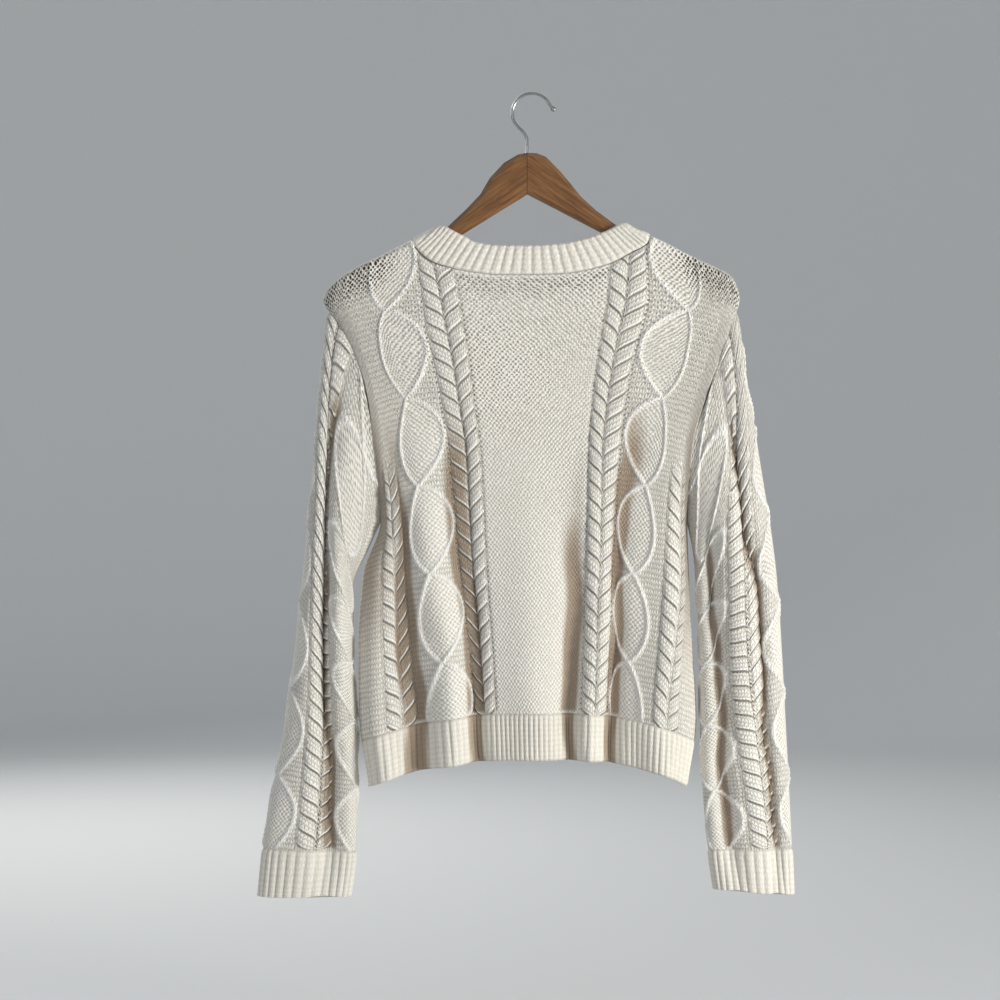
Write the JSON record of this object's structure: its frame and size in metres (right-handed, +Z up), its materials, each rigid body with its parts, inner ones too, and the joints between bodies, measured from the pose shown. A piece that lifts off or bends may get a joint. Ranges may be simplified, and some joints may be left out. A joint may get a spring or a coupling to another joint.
{
  "type": "cable knit sweater on a hanger",
  "caption": "Off-white cable knit pullover with lattice lines, ribbed hem, cuffs and neckband, hung on a wooden hanger with a wire hook.",
  "frame": {"origin": "the inner top of the hanger's hook, where a peg or rail carries it", "axes": "+Z up; the garment's back faces -Y and its front faces +Y; +X is to the right seen from behind the garment"},
  "size_m": [0.5681, 0.0777, 0.8519],
  "materials": {
    "knit": "soft off-white knitted yarn",
    "rib_knit": "off-white ribbed knit",
    "varnished_wood": "brown stained and varnished wood",
    "steel_wire": "bright plated wire"
  },
  "bodies": {
    "root": {"back_panel": "knit", "front_panel": "knit", "sleeve_left": "knit", "sleeve_right": "knit", "hem_rib_back": "rib_knit", "hem_rib_front": "rib_knit", "cuff_left": "rib_knit", "cuff_right": "rib_knit", "neckband": "rib_knit", "hanger_wood": "varnished_wood", "hanger_hook": "steel_wire"}
  },
  "joints": []
}
